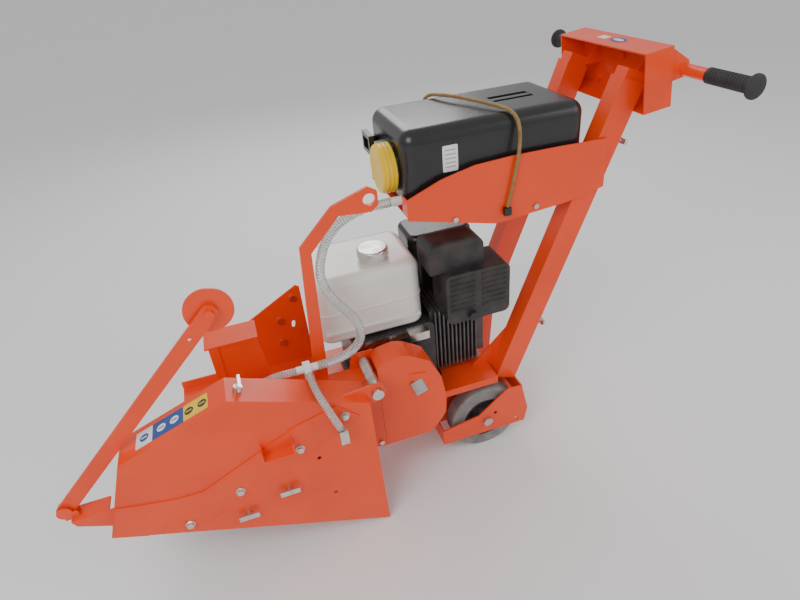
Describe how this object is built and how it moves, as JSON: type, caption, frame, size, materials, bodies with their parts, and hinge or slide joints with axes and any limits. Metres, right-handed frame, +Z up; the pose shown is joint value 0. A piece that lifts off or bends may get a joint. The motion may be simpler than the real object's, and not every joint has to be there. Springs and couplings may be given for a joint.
{
  "type": "walk-behind disc trencher",
  "caption": "Walk-behind wet-cutting disc trencher with petrol engine, belt drive, blade guard, water tank, folding pointer and telescoping handle.",
  "frame": {"origin": "centre of the machine box, on the ground", "axes": "+X to the handle, +Y to the right of the operator, +Z up"},
  "size_m": [1.487, 0.688, 0.9913],
  "materials": {
    "orange_coat": "powder coat, satin",
    "zinc": "zinc plated",
    "steel": "bare steel",
    "disc_steel": "ground",
    "rubber": "matte",
    "tyre_grey": "matte",
    "engine_cast": "cast",
    "engine_black": "satin black",
    "tank_white": "gloss enamel",
    "muffler_black": "heat-proof paint, satin",
    "black_plastic": "moulded, matte",
    "yellow_plastic": "moulded",
    "white_plastic": "moulded",
    "clear_hose": "clear PVC",
    "tan_strap": "woven over elastic"
  },
  "bodies": {
    "machine": {"air_cleaner": "black_plastic", "arbor_bearings": "steel", "belt_casing": "orange_coat", "belt_cover": "orange_coat", "chassis_deck": "orange_coat", "chassis_side_far": "orange_coat", "chassis_side_near": "orange_coat", "column_far": "orange_coat", "column_near": "orange_coat", "column_wing_bolts": "zinc", "drive_belt": "rubber", "elastic_strap": "tan_strap", "engine_crankcase": "engine_black", "engine_cylinder": "engine_cast", "far_brace": "orange_coat", "frame_bolts": "zinc", "front_tower": "orange_coat", "fuel_tank": "tank_white", "governor_linkage": "zinc", "hose_fittings": "white_plastic", "hose_left": "clear_hose", "hose_main": "clear_hose", "hose_right": "clear_hose", "lifting_arm_near": "orange_coat", "muffler": "muffler_black", "rear_axle_bolts": "zinc", "recoil_housing": "engine_black", "strap_anchors": "black_plastic", "tray": "orange_coat", "water_tank": "black_plastic", "wheel_bracket_far": "orange_coat", "wheel_bracket_near": "orange_coat"},
    "blade": {"arbor_shaft": "steel", "arbor_pulley": "steel", "blade_clamp": "steel", "cutting_disc": "disc_steel"},
    "crank": {"crankshaft": "steel", "drive_pulley": "steel"},
    "guard": {"guard_shell": "orange_coat", "guard_overlay": "orange_coat", "guard_fixings": "zinc", "pointer_bracket": "orange_coat"},
    "pointer": {"pointer_arm": "orange_coat"},
    "guide_disc": {"pointer_disc": "orange_coat"},
    "rear_wheel_near": {"rear_tyre_near": "tyre_grey", "rear_rim_near": "engine_black"},
    "rear_wheel_far": {"rear_tyre_far": "tyre_grey", "rear_rim_far": "engine_black"},
    "cradle": {"front_cradle": "orange_coat"},
    "front_wheel_near": {"front_wheel_near": "rubber"},
    "front_wheel_far": {"front_wheel_far": "rubber"},
    "handle": {"handle_tubes": "orange_coat", "control_box": "orange_coat", "handlebar": "orange_coat", "grips": "rubber"},
    "tank_cap": {"tank_cap": "yellow_plastic"},
    "fuel_cap": {"fuel_cap": "zinc"},
    "starter": {"starter_grip": "black_plastic"}
  },
  "joints": [
    {"name": "blade_spin", "type": "hinge", "parent": "machine", "child": "blade", "pos_m": [-0.372, -0.252, 0.29], "axis": [0, 1, 0], "continuous": true},
    {"name": "crank_spin", "type": "hinge", "parent": "machine", "child": "crank", "pos_m": [0.032, -0.18, 0.335], "axis": [0, 1, 0], "continuous": true},
    {"name": "guard_lift", "type": "hinge", "parent": "machine", "child": "guard", "pos_m": [-0.061, -0.2685, 0.403], "axis": [0, 1, 0], "range_deg": [0, 30], "deforming": ["hose_right"]},
    {"name": "pointer_swing", "type": "hinge", "parent": "guard", "child": "pointer", "pos_m": [-0.731, -0.252, 0.311], "axis": [0, 1, 0], "range_deg": [-160, 0]},
    {"name": "guide_disc_spin", "type": "hinge", "parent": "pointer", "child": "guide_disc", "pos_m": [-0.3453, -0.242, 0.68607], "axis": [0, 1, 0], "continuous": true},
    {"name": "rear_wheel_near_spin", "type": "hinge", "parent": "machine", "child": "rear_wheel_near", "pos_m": [0.25, -0.133, 0.098], "axis": [0, 1, 0], "continuous": true},
    {"name": "rear_wheel_far_spin", "type": "hinge", "parent": "machine", "child": "rear_wheel_far", "pos_m": [0.25, 0.133, 0.098], "axis": [0, 1, 0], "continuous": true},
    {"name": "depth_swing", "type": "hinge", "parent": "machine", "child": "cradle", "pos_m": [-0.28, 0, 0.19], "axis": [0, 1, 0], "range_deg": [0, 20]},
    {"name": "front_wheel_near_spin", "type": "hinge", "parent": "cradle", "child": "front_wheel_near", "pos_m": [-0.44, -0.095, 0.075], "axis": [0, 1, 0], "continuous": true},
    {"name": "front_wheel_far_spin", "type": "hinge", "parent": "cradle", "child": "front_wheel_far", "pos_m": [-0.44, 0.095, 0.075], "axis": [0, 1, 0], "continuous": true},
    {"name": "handle_slide", "type": "slide", "parent": "machine", "child": "handle", "axis": [0.373, 0, 0.9278], "range_m": [0, 0.18]},
    {"name": "tank_cap_turn", "type": "hinge", "parent": "machine", "child": "tank_cap", "pos_m": [0.067, -0.044, 0.812], "axis": [-1, 0, 0], "range_deg": [0, 360]},
    {"name": "fuel_cap_turn", "type": "hinge", "parent": "machine", "child": "fuel_cap", "pos_m": [0.022, -0.03, 0.61], "axis": [0, 0, 1], "range_deg": [0, 90]},
    {"name": "starter_pull", "type": "slide", "parent": "machine", "child": "starter", "axis": [0, 1, 0], "range_m": [0, 0.4], "stiffness_N_per_m": 20, "springref_m": -0.2}
  ],
  "couplings": [
    {"joint": "crank_spin", "follows": "blade_spin", "ratio": 0.95}
  ]
}
